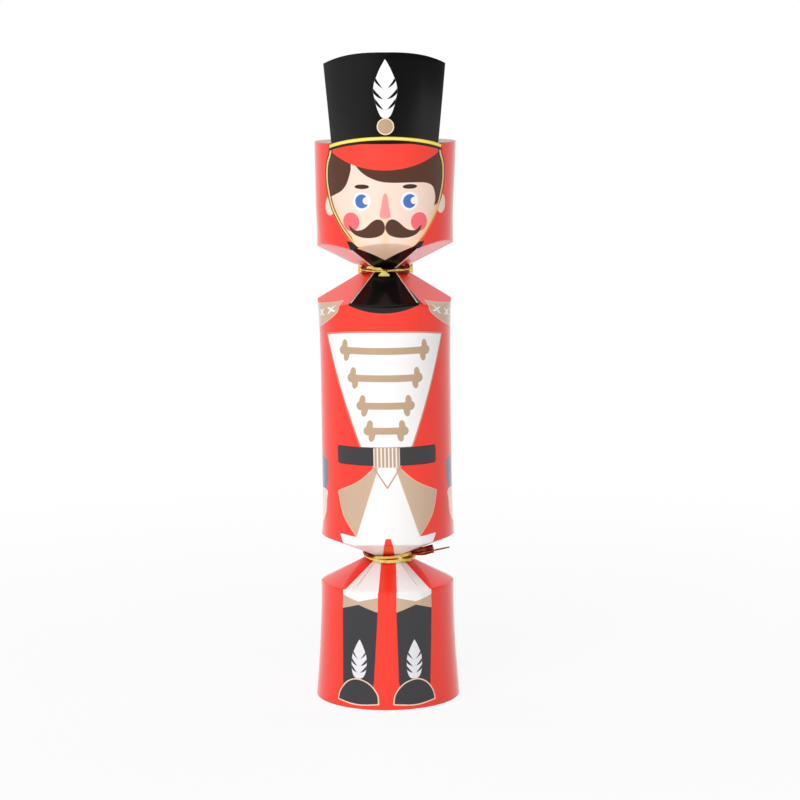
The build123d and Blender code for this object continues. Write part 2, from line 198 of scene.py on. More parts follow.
def shape(s, z, corners):
    """Distance to the outline through the corners: the way to the nearest of its straight sides, negative
    inside, where an odd number of sides lie to the right."""
    closed = [*corners, corners[0]]
    inside = np.zeros(s.shape, bool)
    best = np.full(s.shape, np.inf)
    for (s0, z0), (s1, z1) in zip(closed[:-1], closed[1:]):
        ds, dz = s1 - s0, z1 - z0
        t = np.clip(((s - s0) * ds + (z - z0) * dz) / (ds * ds + dz * dz), 0, 1)
        best = np.minimum(best, np.hypot(s - s0 - t * ds, z - z0 - t * dz))
        if dz:
            inside ^= ((z0 > z) != (z1 > z)) & (s < s0 + (z - z0) * ds / dz)
    return np.where(inside, -best, best)


def bent(points, closed=False, steps=6):
    """Smooth run through the points: a cubic between each two, with slopes from the points beside them."""
    p = np.array(points, float)
    ends = (p[-1:], p[:2]) if closed else (2 * p[:1] - p[1:2], 2 * p[-1:] - p[-2:-1])
    p = np.concatenate((ends[0], p, ends[1]))
    t = (np.arange(steps) / steps)[None, :, None]
    a, b, c, d = (p[k:len(p) - 3 + k][:, None] for k in range(4))
    run = b + t * (c - a) / 2 + t**2 * (a - 2.5 * b + 2 * c - d / 2) + t**3 * (1.5 * (b - c) + (d - a) / 2)
    run = run.reshape(-1, 2)
    return run if closed else np.concatenate((run, p[-2:-1]))


def outline(curve, *corners):
    """Smooth run through the points of a curve, then straight on to each corner."""
    return [*bent(curve), *corners]


def oval(s, z, centre, half, tilt=0.0):
    """Distance to an ellipse near its edge: its level over the slope of that level."""
    turn = np.radians(tilt)
    u = (s - centre[0]) * np.cos(turn) + (z - centre[1]) * np.sin(turn)
    v = (z - centre[1]) * np.cos(turn) - (s - centre[0]) * np.sin(turn)
    level = np.hypot(u / half[0], v / half[1])
    return level * (level - 1) / np.maximum(np.hypot(u / half[0] ** 2, v / half[1] ** 2), 1e-6)


def ink(red, green, blue):
    """Printed colour, from its values of 0 to 255 on a screen to linear light."""
    tone = np.array((red, green, blue)) / 255
    return (*np.where(tone < 0.04045, tone / 12.92, ((tone + 0.055) / 1.055) ** 2.4), 1.0)


def feed(tree, sockets, values):
    """Give each named socket its value, or a link where the value is another node's socket."""
    for label, value in values.items():
        if isinstance(value, bpy.types.NodeSocket):
            tree.links.new(value, sockets[label])
        else:
            sockets[label].default_value = value


def wired(tree, kind, inputs, **settings):
    """Outputs of a new node with these settings, its inputs fed with values or with other nodes' sockets."""
    node = tree.nodes.new("ShaderNode" + kind)
    for label, value in settings.items():
        setattr(node, label, value)
    feed(tree, node.inputs, inputs)
    return node.outputs


def reckoned(tree, operation, *terms):
    """Output of a math node on its terms, each a number or another node's socket."""
    return wired(tree, "Math", dict(enumerate(terms)), operation=operation)[0]


def ramp(tree, value, span, levels=(0.0, 1.0), kind="LINEAR"):
    """Output of a node that carries a value from the ends of a span to two levels."""
    ends = dict(zip(("From Min", "From Max", "To Min", "To Max"), (*span, *levels)))
    return wired(tree, "MapRange", {"Value": value, **ends}, interpolation_type=kind)["Result"]


def blended(tree, factor, first, second, kind="RGBA"):
    """Output of a mix node: the first where the factor is 0, the second where it is 1."""
    return wired(tree, "Mix", {"Factor": factor, "A": first, "B": second}, data_type=kind)["Result"]


def node_group(name, takes, gives):
    """Node group with sockets by name and kind, and what its input and output nodes hold."""
    group = bpy.data.node_groups.new(name, "ShaderNodeTree")
    for way, sockets in (("INPUT", takes), ("OUTPUT", gives)):
        for label, kind in sockets.items():
            group.interface.new_socket(label, in_out=way, socket_type="NodeSocket" + kind)
    return group, group.nodes.new("NodeGroupInput").outputs, group.nodes.new("NodeGroupOutput").inputs


def inking_group():
    """Node group that lays an ink over a colour where its plate, a distance in mm, is below nought."""
    takes = {"Under": "Color", "Ink": "Color", "Plate": "Float", "Blur": "Float", "Strength": "Float"}
    group, given, made = node_group("ink_plate", takes, {"Color": "Color"})
    span = (reckoned(group, "MULTIPLY", given["Blur"], -1.0), given["Blur"])
    cover = ramp(group, given["Plate"], span, (given["Strength"], 0.0), "SMOOTHSTEP")
    feed(group, made, {"Color": blended(group, cover, given["Under"], given["Ink"])})
    return group


def paper_group():
    """Node group for paper and card: a faint mottle of the colour, uneven gloss and the fibres' height."""
    takes = {"Color": "Color", "Mottle": "Float", "Gloss": "Float"}
    gives = {"Color": "Color", "Roughness": "Float", "Height": "Float"}
    group, given, made = node_group("paper_stock", takes, gives)
    place = wired(group, "TexCoord", {})["Object"]
    cloud = wired(group, "TexNoise", {"Vector": place, "Scale": 160.0, "Detail": 3.0})["Fac"]
    fibre = wired(group, "TexNoise", {"Vector": place, "Scale": 2600.0, "Detail": 2.0})["Fac"]
    centred = reckoned(group, "SUBTRACT", cloud, 0.5)
    spread = reckoned(group, "MULTIPLY_ADD", centred, given["Mottle"], 1.0)
    rough = reckoned(group, "MULTIPLY_ADD", centred, 0.08, given["Gloss"])
    tone = wired(group, "HueSaturation", {"Value": spread, "Color": given["Color"]})["Color"]
    feed(group, made, {"Color": tone, "Roughness": rough, "Height": fibre})
    return group


inking = inking_group()
paper = paper_group()


def blank_finish(name):
    """New material, its node tree and the inputs of its shader."""
    material = bpy.data.materials.new(name)
    material.use_nodes = True
    return material, material.node_tree, material.node_tree.nodes["Principled BSDF"].inputs


def on_paper(tree, shader, colour, gloss, mottle, grain):
    """Feed a shader with a colour on paper: its mottle, its uneven gloss and the bump of its fibres."""
    stock = wired(tree, "Group", {"Color": colour, "Mottle": mottle, "Gloss": gloss}, node_tree=paper)
    bump = wired(tree, "Bump", {"Distance": grain, "Height": stock["Height"]})["Normal"]
    feed(tree, shader, {"Base Color": stock["Color"], "Roughness": stock["Roughness"], "Normal": bump})


def paper_finish(name, colour, gloss, mottle=0.06, grain=0.000015):
    """Material of plain paper or card in one colour."""
    material, tree, shader = blank_finish(name)
    on_paper(tree, shader, colour, gloss, mottle, grain)
    return material


def plate_value(tree, plate):
    """Distance in millimetres that the points carry for a plate."""
    return wired(tree, "Attribute", {}, attribute_name=plate)["Fac"]


def printed_finish(name, ground, inks, dull=None):
    """Glossy printed card: each ink laid over the ground colour and the inks before it, under a clear coat.
    An ink is a plate, colour, blur and strength. A half width draws a line along the plate's nought, a pitch
    repeats that line, and the last item names a plate that the ink keeps inside. The coat is thin inside the
    dull plate."""
    material, tree, shader = blank_finish(name)
    under = ground
    for plate, colour, blur, strength, *line_form in inks:
        half, pitch, inside = (line_form + [None, None, None])[:3]
        place = plate_value(tree, plate)
        if pitch:
            place = reckoned(tree, "PINGPONG", place, pitch / 2)
        if half:
            place = reckoned(tree, "SUBTRACT", reckoned(tree, "ABSOLUTE", place), half)
        if inside:
            place = reckoned(tree, "MAXIMUM", place, plate_value(tree, inside))
        laid = {"Under": under, "Ink": colour, "Plate": place, "Blur": blur, "Strength": strength}
        under = wired(tree, "Group", laid, node_tree=inking)["Color"]
    on_paper(tree, shader, under, gloss=0.36, mottle=0.03, grain=0.000008)
    coat, thin_coat = 0.9, 0.45
    if dull:
        coat = ramp(tree, plate_value(tree, dull), (-0.5, 0.5), (thin_coat, coat))
    clear = {"Coat Weight": coat, "Coat Roughness": 0.11, "Coat IOR": 1.4, "Specular IOR Level": 0.05}
    feed(tree, shader, clear)
    return material


red = ink(252, 58, 42)
white = ink(250, 248, 247)
tan = ink(208, 178, 152)
charcoal = ink(54, 53, 56)
black = ink(16, 15, 15)
flesh = ink(252, 222, 205)
card_white = paper_finish("bare_card", ink(248, 245, 241), 0.6, 0.05)
card_core = paper_finish("card_core", ink(232, 226, 216), 0.75, 0.1)
bare_sides = (card_white, card_core)

hem_funnel = 7.4
shoulder_funnel = 10.6
barrel_pinch = 0.25
barrel_lean = 0.45
slack_run = 12
hem_slope, shoulder_slope = panel_slope(hem_funnel), panel_slope(shoulder_funnel)
middle, across = sheet_columns((14, 22, 56, 58, 56, 22))
hem_bow = 0.5
front_bow, side_bow = 0.3, 0.9
shoulder_bow = np.where(np.abs(middle) < 0.1, front_bow, side_bow)
hem = neck_shares(24)
wall_share = np.concatenate(([0.002, 0.005, 0.009], np.linspace(0.014, 0.986, 150), [0.991, 0.995, 0.998]))
share = np.concatenate((hem, np.ones(len(wall_share)), hem[::-1]))
delta = panel_turn(share, across)
phi = middle[None, :] + delta
n = len(hem)
hem_crease = lower_waist + crease_rise(delta, hem_slope, hem_bow)
shoulder_crease = upper_waist - crease_rise(delta, shoulder_slope, shoulder_bow)
height = hem_crease.copy()
height[:n] = lower_waist + neck_rise(hem[:, None], delta[:n], hem_slope, hem_bow)
height[n:-n] += wall_share[:, None] * (shoulder_crease - hem_crease)[n:-n]
height[-n:] = upper_waist - neck_rise(hem[::-1, None], delta[-n:], shoulder_slope, shoulder_bow)
along = (height - lower_waist - hem_funnel) / (upper_waist - shoulder_funnel - lower_waist - hem_funnel)
pinch = barrel_pinch * np.sin(np.pi * np.clip(along, 0, 1))
flare = corner_flare(delta, height - hem_crease) + corner_flare(delta, shoulder_crease - height)
wall = tube + seam_ease(phi) * (flare - pinch)
radius = np.minimum(
    folded(wall, height - lower_waist, delta, hem_slope, hem_bow),
    folded(wall, upper_waist - height, delta, shoulder_slope, shoulder_bow),
)
slack = np.clip((height - lower_waist) / slack_run, 0, 1) * np.clip((upper_waist - height) / slack_run, 0, 1)
radius -= slack * ripple(phi, height, (0.05, 5, 14), (0.04, 2, -9))
barrel_points = around(radius, phi, height)
lean = barrel_lean - 2 * barrel_lean * np.clip(along, 0, 1)
barrel_points[..., 0] += lean * slack * seam_ease(phi)

# The print is drawn in millimetres round the wall from the front, s, and up from the floor, z.
# A plate is the distance to a printed form, less than nought inside it, and off_plate is well outside.
off_plate = 5.0
print_stretch = 1.01
stripe_shift = 4
barrel_bare_edge = 0.1
skew = lean / 3
s, z = print_stretch * phi * (tube - pinch) - skew, height
side = np.abs(s)
lateral = np.abs(barrel_points[..., 0] - stripe_shift * skew)
row = np.arange(len(share))[:, None]
in_hem = row < n
in_shoulder = row >= len(share) - n
hem_plate = np.where(in_hem, -off_plate, off_plate)
neck_high = np.clip((upper_waist - z) / (upper_waist - shoulder_crease), 0, 1)
up = np.where(in_shoulder, shoulder_crease + (z - shoulder_crease) * np.hypot(1, 1 / shoulder_slope), z)
edge_gap = (1 - np.abs(across)) * half_panel * radius


def plaque(s, z, half, corner):
    """Distance to an upright rectangle of half sizes about nought, its corners rounded."""
    ds, dz = np.abs(s) - half[0] + corner, np.abs(z) - half[1] + corner
    return np.hypot(np.maximum(ds, 0), np.maximum(dz, 0)) + np.minimum(np.maximum(ds, dz), 0) - corner


cravat_half = 13.4
cravat = np.maximum(145.4 + 2.7 * (s / cravat_half) ** 2 - z, side - cravat_half)
cravat_panel = np.where(in_shoulder & (np.abs(phi) < half_panel), -off_plate, off_plate)
beside = (phi - half_panel) * radius
cravat_wedge = np.where(in_shoulder & (beside > 0), beside - 4.4 * (neck_high - 0.45), off_plate)
board_middle = 38
board_edge = ((18.7, 150.8), (18.0, 147.8), (19.2, 145.0), (24.4, 141.8), (30.2, 139.6), (37.5, 138.1))
shoulder_boards = shape(
    board_middle - np.abs(board_middle - side),
    up,
    outline(board_edge, (39, 138.1), (39, 146.7), (34.8, 146.9)),
)
cross_half, cross_pitch, first_cross = 0.68, 7.4, 22.4
cross_rise = 1.615 * (up - 143.6 - 0.0105 * (side - 37.2) ** 2)
plastron_top = ((-25.4, 136.9), (-13, 138.3), (0, 138.7), (13, 138.3), (25.4, 136.9))
frogs = []
for level, reach in ((131.7, 16.1), (121.8, 12.7), (111.8, 9.2), (102.7, 6.6)):
    frogs.append(np.maximum(np.abs(z - level) - 1.25, side - reach))
    frogs.append(np.hypot(side - reach - 0.2, z - level) - 1.65)
    frogs.append(oval(side, z, (reach - 0.6, level + 2.0), (1.2, 1.95), 8))
    frogs.append(oval(side, z, (reach - 1.3, level - 2.0), (1.2, 1.95), 14))
tail_top = ((4.5, 89.4), (11.0, 83.9), (20.6, 79.6))
tail_edge = ((20.6, 79.6), (18.0, 71.0), (12.0, 63.5))
legs = ((0, 89.5), (3.3, 89.5), (12.0, 63.5), (20.0, 64.1), (18.0, 60.5), (17.6, 58.0), (0, 58.0))
hem_turn = np.radians(41)
stripe_top = 63.2
stripe_half = 1.0 + 0.22 * np.clip(stripe_top - z, 0, 3.4) + 0.06 * np.maximum(59.8 - z, 0)
cuff_edge = (
    (27.4, 89.7), (32.5, 91.4), (45.5, 91.4), (50.6, 89.7), (50.4, 82), (48.6, 79), (29.4, 79), (27.6, 82),
)
hand_edge = ((29.6, 79), (29.0, 75), (30.4, 69.8), (35, 66), (43, 66), (47.6, 69.8), (49, 75), (48.4, 79))

barrel_plates = {
    "cravat": np.min((cravat, cravat_panel, cravat_wedge), 0),
    "dull": np.minimum(np.minimum(cravat_panel, cravat_wedge), hem_plate),
    "shoulder_boards": shoulder_boards,
    "cross_up": side - first_cross - cross_rise,
    "cross_down": side - first_cross + cross_rise,
    "cross_band": np.max((np.abs(cross_rise) - 1.95, shoulder_boards + 0.2, 19.2 - side, side - 55.2), 0),
    "plastron": shape(s, z, outline(plastron_top, (9.7, 96.5), (-9.7, 96.5))),
    "frogs": np.min(frogs, 0),
    "belt": plaque(s, z - 93.3, (20.1, 3.2), 0.8),
    "buckle": plaque(s, z - 93.0, (4.85, 3.6), 0.2),
    "across": s + 0.6,
    "tails": shape(side, z, outline(tail_top, *bent(tail_edge)[1:], (3.7, 87.4), (3.2, 89.4))),
    "trousers": np.minimum(shape(side, z, legs), np.maximum((np.abs(phi) - hem_turn) * radius, hem_plate)),
    "trouser_front": shape(s, z, ((-7.2, 93.0), (7.2, 93.0), (0.1, 81.8))),
    "hem_stripe": np.maximum(lateral - stripe_half, z - stripe_top),
    "cuffs": shape(side, z, cuff_edge),
    "hands": shape(side, z, bent(hand_edge, True)),
    "cut": np.where(share[:, None] < 1, edge_gap - barrel_bare_edge, off_plate),
}
barrel_print = printed_finish(
    "barrel_print",
    red,
    (
        ("shoulder_boards", tan, 0.08, 1.0),
        ("cross_up", white, 0.12, 1.0, cross_half, cross_pitch, "cross_band"),
        ("cross_down", white, 0.12, 1.0, cross_half, cross_pitch, "cross_band"),
        ("shoulder_boards", ink(247, 223, 199), 0.1, 0.6, 0.16),
        ("trousers", white, 0.06, 1.0),
        ("tails", tan, 0.06, 1.0),
        ("tails", ink(247, 223, 199), 0.1, 0.5, 0.16),
        ("hem_stripe", red, 0.06, 1.0),
        ("trouser_front", ink(201, 158, 136), 0.1, 1.0, 0.27),
        ("plastron", white, 0.06, 1.0),
        ("plastron", ink(214, 136, 110), 0.1, 0.9, 0.32),
        ("frogs", ink(195, 164, 135), 0.06, 1.0),
        ("belt", charcoal, 0.06, 1.0),
        ("belt", black, 0.1, 0.7, 0.2),
        ("buckle", ink(188, 162, 145), 0.06, 1.0),
        ("across", ink(252, 238, 221), 0.1, 1.0, 0.27, 1.385, "buckle"),
        ("hands", flesh, 0.08, 1.0),
        ("cuffs", ink(101, 110, 132), 0.08, 1.0),
        ("cravat", black, 0.06, 1.0),
        ("cut", white, 0.1, 0.9),
    ),
    "dull",
)
barrel_card = card_sheet(
    "barrel_card",
    barrel_points,
    kept_cells(share, across),
    card,
    (barrel_print, *bare_sides),
    barrel_plates,
)
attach(barrel_card, "barrel")
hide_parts("barrel_wrap")

# Foot: the flared bottom of the tube, of the same printed card, on whose cut rim the cracker stands.
# Its six panels fold in above the boots to the lower waist.
foot_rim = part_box("foot_wrap")[1].x / mm
foot_funnel = 9.2
foot_bow = 0.15
foot_pinch = 0.2
foot_slack_run = 15
foot_crease_level = lower_waist - foot_funnel
foot_slope = panel_slope(foot_funnel)

middle, across = sheet_columns((14, 14, 60, 64, 60, 14))
neck = neck_shares(26)
wall_share = np.concatenate((np.linspace(0, 0.985, 100), [0.990, 0.994, 0.997]))
share = np.concatenate((np.ones(len(wall_share)), neck[::-1]))
delta = panel_turn(share, across)
phi = middle[None, :] + delta
n = len(neck)
crease = lower_waist - crease_rise(delta, foot_slope, foot_bow)
height = lower_waist - neck_rise(share[:, None], delta, foot_slope, foot_bow)
height[:-n] = wall_share[:, None] * crease[:-n]
along = np.clip(height / foot_crease_level, 0, 1)
flat_wall = tube + (foot_rim - tube) * (1 - along) - foot_pinch * seam_ease(phi) * np.sin(np.pi * along)
wall = flat_wall + seam_ease(phi) * corner_flare(delta, crease - height)
radius = folded(wall, lower_waist - height, delta, foot_slope, foot_bow)
slack = np.clip(height / foot_slack_run, 0, 1) * np.clip((lower_waist - height) / slack_run, 0, 1)
radius -= slack * ripple(phi, height, (0.05, 4, 10), (0.03, 3, -7))
foot_points = around(radius, phi, height)

# The art for the foot and head was drawn round a tube a little wider than this one, with its own flares.
art_radius = 25.0
art_tube = 24.75
foot_art_flare = 1.95
foot_art_lean = 0.6
z = height
s = art_radius * phi * flat_wall / (art_tube + foot_art_flare * (1 - along)) + foot_art_lean * (1 - along)
side = np.abs(s)
neck_at = np.clip((lower_waist - z) / (lower_waist - crease), 0, 1)
in_neck = (np.arange(len(share)) >= len(wall_share))[:, None]
lateral = np.abs(foot_points[..., 0] - 0.55 + 0.4 * neck_at)
leg = np.maximum(2.6 + 0.75 * neck_at - lateral, 0.8 * (lateral - 4.05 - 11.4 * neck_at))
leg_wall = shape(side, z, ((3.5, 46), (17.9, 46), (17.8, 41.4), (10.8, 39.6), (3.4, 41.3)))
cuff_band = shape(side, z, ((3.4, 42), (17.8, 42), (17.8, 36.4), (10.8, 38.4), (3.4, 35.8)))
boot = ((3.4, 36.5), (10.8, 39), (17.8, 37), (16.4, 8.6), (14, 3), (6, 3), (4.4, 10.0))
toe_top = ((2.6, 2.0), (3.2, 5.8), (6.2, 9.5), (10.8, 11.0), (14.8, 9.4), (17.5, 5.9), (18.4, 2.6))
toe_sole = ((18.4, 2.6), (10.6, 1.5), (2.6, 2.0))


def plume(s, z, scale, taper):
    """Distances to a feather whose quill stands at nought: to its leaf, narrowed at the foot by the taper,
    and to the nearest of three cuts up each side, which curve up from the quill and grow wider outwards.
    Above and below change sides from one cut to the next."""
    up = z / scale
    side = np.abs(s) / scale * (1 + taper * np.clip(1 - up / 9, 0, 1))
    lower_edge = ((1.2, 0), (2.6, 1.0), (3.6, 3.2), (4.0, 5.6), (4.1, 9.2))
    upper_edge = ((3.7, 12.4), (2.9, 14.5), (1.7, 17.3), (0, 20.4))
    leaf = shape(side, up, [(-1, 0.2), *outline(lower_edge + upper_edge, (-1, 20.4))])
    bends = np.array(((10.5, 0.8, 0.16, 1), (6.7, 0.45, 0.14, -1), (3.2, 0.5, 0.13, 1)))
    start, lean, curl, turn = bends.T[:, :, None, None]
    above = turn * (up - start - lean * (side - 1) - curl * (side - 1) ** 2)
    nearest = np.argmin(np.abs(above), 0)[None]
    width = np.clip(0.34 * (side - 0.7), 0.004, 0.9)
    cut = np.take_along_axis(above, nearest, 0)[0] * 0.3 / width
    return leaf * scale, np.clip(cut, -off_plate, off_plate)


boot_leaf, boot_cuts = plume(side - 10.1, z - 11.2, 0.71, 0.0)

foot_plates = {
    "legs": np.where(in_neck, np.where(np.cos(phi) > 0, leg, off_plate), leg_wall),
    "cuff_band": np.maximum(cuff_band, np.where(in_neck, off_plate, -leg_wall)),
    "boots": np.maximum(shape(side, z, boot), -np.minimum(cuff_band, off_plate)),
    "toes": shape(side, z, outline(toe_top, *bent(toe_sole)[1:-1])),
    "feathers": boot_leaf,
    "feather_cuts": boot_cuts,
}
foot_print = printed_finish(
    "foot_print",
    red,
    (
        ("legs", white, 0.06, 1.0),
        ("cuff_band", tan, 0.06, 1.0),
        ("boots", charcoal, 0.06, 1.0),
        ("feathers", ink(236, 234, 240), 0.06, 1.0),
        ("feather_cuts", charcoal, 0.06, 1.0, 0.3, None, "feathers"),
        ("toes", charcoal, 0.06, 1.0),
        ("toes", ink(245, 214, 184), 0.08, 1.0, 0.22),
    ),
)
foot_card = card_sheet(
    "foot_card", foot_points, kept_cells(share, across), card, (foot_print, *bare_sides), foot_plates
)
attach(foot_card, "foot")
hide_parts("foot_wrap")

# Head: the top of the tube, flared a little, of the same printed card.
# The tall hat is die-cut from the front of the wall and stands up above the rim, bare white behind.
head_rim = 205.8
rim_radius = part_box("head_wrap")[1].x / mm
hat_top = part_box("head_wrap")[1].z / mm
hat_drop = 4.0
hat_base_half = 19.2
hat_top_half = 21.8
crown_power = 2.8
hat_curl = 0.09
hat_curl_depth = 2.2
head_swell = 0.25
swell_fade = 1.6
left_stand = 1.9
left_ease = 0.15
head_funnel = 9.0
head_bow = 1.0
head_crease_level = upper_waist + head_funnel
head_slack_start = 14
head_slack_run = 10
head_lean_start = -0.3
head_lean_gain = 0.55

middle, across = sheet_columns((14, 14, 66, 66, 66, 14))
head_slope = panel_slope(head_funnel - np.clip(-np.sin(middle + across * half_panel), 0, 1))
neck = neck_shares(26)
wall_share = np.concatenate(([0.003, 0.007, 0.012], np.linspace(0.02, 1, 88)))
hat_share = np.linspace(0, 1, 62)[1:]
share = np.concatenate((neck, np.ones(len(wall_share) + len(hat_share))))
hat_turn = np.arcsin(hat_base_half / rim_radius)
edge = np.argmin(np.abs(middle + across * half_panel - np.array([[-hat_turn], [hat_turn]])), axis=1)
delta = panel_turn(share, across)
ease = np.array([-hat_turn, hat_turn]) - (middle + delta[-1])[edge]
delta[:, edge] += ease[None, :] * (share >= 1)[:, None]
phi = middle[None, :] + delta
n, m = len(neck), len(neck) + len(wall_share)
crease = upper_waist + crease_rise(delta, head_slope, head_bow)
height = np.empty_like(phi)
height[:n] = upper_waist + neck_rise(neck[:, None], delta[:n], head_slope, head_bow)
height[n:m] = crease[n:m] + wall_share[:, None] * (head_rim - crease[n:m])
out = np.clip(np.sin(phi[m - 1]) * rim_radius / hat_base_half, -1, 1)
crown_line = hat_top - hat_drop * np.abs(out) ** crown_power
height[m:] = head_rim + hat_share[:, None] * (crown_line - head_rim)
hat_along = (height[m:] - head_rim) / (hat_top - hat_drop - head_rim)
spread = hat_base_half + (hat_top_half - hat_base_half) * hat_along
phi[m:] = np.arcsin(np.clip(np.sin(phi[m - 1]) * spread / hat_base_half, -1, 1))
along = np.clip((height - head_crease_level) / (head_rim - head_crease_level), 0, 1)
swell = head_swell * seam_ease(phi) * np.minimum(1, swell_fade - swell_fade * along)
flat_wall = tube + (rim_radius - tube) * along + swell
wall = flat_wall + seam_ease(phi) * corner_flare(delta, height - crease)
radius = folded(wall, height - upper_waist, delta, head_slope, head_bow)
slack = np.clip((height - upper_waist - head_slack_start) / head_slack_run, 0, 1)
radius -= slack * ripple(phi, height, (0.04, 4, 11), (0.03, 3, -8))
radius[m:] -= hat_curl * np.maximum(height[m:] - crown_line + hat_curl_depth * (1 - out**2), 0)
left = np.clip(-np.sin(phi), 0, 1)
radius += left_stand * left**2 * ((1 - share) * np.clip(share / left_ease, 0, 1))[:, None]
head_points = around(radius, phi, height)
head_points[..., 0] += (head_lean_start + head_lean_gain * along) * slack * seam_ease(phi)
head_cells = kept_cells(share, across)
column = np.arange(len(across) - 1)
head_cells[m - 1:] &= ((column >= edge[0]) & (column < edge[1]))[None, :]

head_art_flare = 1.15
head_art_shift = 0.3
head_bare_edge = 0.25
s, z = art_radius * phi * flat_wall / (art_tube + head_art_flare * along) - head_art_shift, height
side = np.abs(s)
neck_at = (z - upper_waist) / (crease - upper_waist)
in_neck = (np.arange(len(share)) < n)[:, None]
front_neck = in_neck & (np.abs(phi) < half_panel)
edge_gap = (1 - np.abs(across)) * half_panel * radius
lateral = np.abs(head_points[..., 0])
cord_sag, cord_half = 3.05, 22
cord_line = 207.8 - cord_sag * (s / cord_half) ** 2
cord = (z - cord_line) / np.sqrt(1 + (2 * cord_sag * s / cord_half**2) ** 2)
cord_span = side - 22.2
peak_bend = (s / 21.6) ** 2
temple = (
    (21.2, 212.0), (21.6, 203.2), (23.5, 198.5), (24.0, 193.4), (23.2, 188.7),
    (21.4, 183.5), (19.4, 180.1), (16.2, 175.7), (12.4, 171.4),
)
jaw_outline = outline(temple, (10.4, 169.2), (0, 165), (-1, 165), (-1, 212))
face = shape(side, z, jaw_outline)
jaw_top = 186
jaw_fade = np.clip((jaw_top - z) / 10, 0, 1) + 9 * np.clip((172.4 - z) / 2, 0, 1)
strap_line = shape(side, np.maximum(z, crease), jaw_outline) * (1 + 30 * np.clip(1 - neck_at, 0, 1))
right = s > 0
ear_centre = (np.where(right, 23.2, 22.5), np.where(right, 184.2, 183.5))
left_lock = ((12.5, 199.5), (12.6, 196.4), (14.2, 191.8), (16.4, 189.2), (19.2, 187.8), (22.6, 186.5))
left_top = ((23.6, 190), (24.0, 194), (23.4, 199), (21.6, 203.4), (14, 203.4))
fringe = (
    (-11.4, 199.0), (-8.9, 196.2), (-5.9, 194.1), (-1.9, 192.6), (2.4, 192.1), (9.0, 192.1),
    (14.6, 191.9), (17.8, 190.9), (19.3, 188.9), (19.9, 186.1), (19.4, 183.3),
)
right_top = ((21.6, 184.6), (23.0, 188.7), (24.0, 193.4), (23.4, 198.6), (21.6, 203.4), (0, 203.4))
eye_level = 185.5
gaze = s - np.where(right, 8.8, -8.5)
gleam = np.hypot(gaze - 1.75, z - eye_level - 0.2) - 1.3
nose_side = ((0, 188.5), (0.75, 187.4), (1.4, 183.6), (1.95, 180.7), (1.6, 179.8), (0.8, 179.5))
moustache_edge = (
    (0.25, 177.2), (1.2, 178.7), (3.0, 179.1), (5.0, 178.0), (7.0, 176.2), (9.0, 175.2), (11.2, 175.2),
    (12.8, 176.4), (13.6, 176.9), (12.9, 175.0), (11.0, 173.4), (8.0, 172.5), (4.6, 172.5), (1.6, 173.4),
    (0.3, 175.0),
)
chin = (lateral - 15.9 * (neck_at - 0.376)) * 0.75
lapel_tip = (
    (14.8, 171.2), (12.6, 170.9), (10.6, 169.5), (9.6, 168.6), (9.6, 167.5), (13.0, 167.5), (13.6, 169.2),
)
hat_leaf, hat_cuts = plume(s, z - 214.9, 1.02, 0.5)

head_plates = {
    "hat": np.minimum(np.maximum(cord_line - z, cord_span), head_rim - z),
    "plume": np.maximum(hat_leaf, 213.5 - z),
    "plume_cuts": hat_cuts,
    "cockade": np.hypot(s, z - 212.0) - 2.8,
    "cord": cord,
    "cord_shadow": cord + 0.95,
    "cord_span": cord_span,
    "ears": oval(side, z, ear_centre, (2.8, 3.5), 12),
    "face": np.where(in_neck, np.where(front_neck, chin, off_plate), face),
    "jaw": np.max((face, -face - 2.0, z - jaw_top), 0),
    "chin_shade": np.where(front_neck, 14 * (neck_at - 0.5), 8),
    "hair": np.minimum(shape(-s, z, outline(left_lock, *left_top)), shape(s, z, outline(fringe, *right_top))),
    "peak": np.maximum(z - 206.4 + 3.2 * peak_bend, 196.5 + 6.6 * peak_bend - z),
    "strap": strap_line * (1 + jaw_fade * np.where(right, 0.5, 0.2)),
    "strap_edge": strap_line * (1 + jaw_fade * np.where(right, 3.0, 0.45)),
    "brows": oval(gaze, z, (0.1, 190.7), (2.75, 0.82)),
    "eyes": np.hypot(gaze, z - eye_level) - 3.35,
    "irises": np.maximum(np.hypot(gaze - 0.1, z - eye_level) - 2.5, -gleam),
    "nose": shape(side, z, outline(nose_side, (-1, 179.5), (-1, 188.5))),
    "cheeks": np.hypot(side - 12.7, z - 178.1) - 3.35,
    "moustache": shape(side, z, bent(moustache_edge, True)),
    "lapels": np.where(front_neck, -chin, shape(side, z, lapel_tip)),
    "dull": np.where(front_neck, -off_plate, off_plate),
    "cut": np.where(share[:, None] < 1, edge_gap - head_bare_edge, off_plate),
}
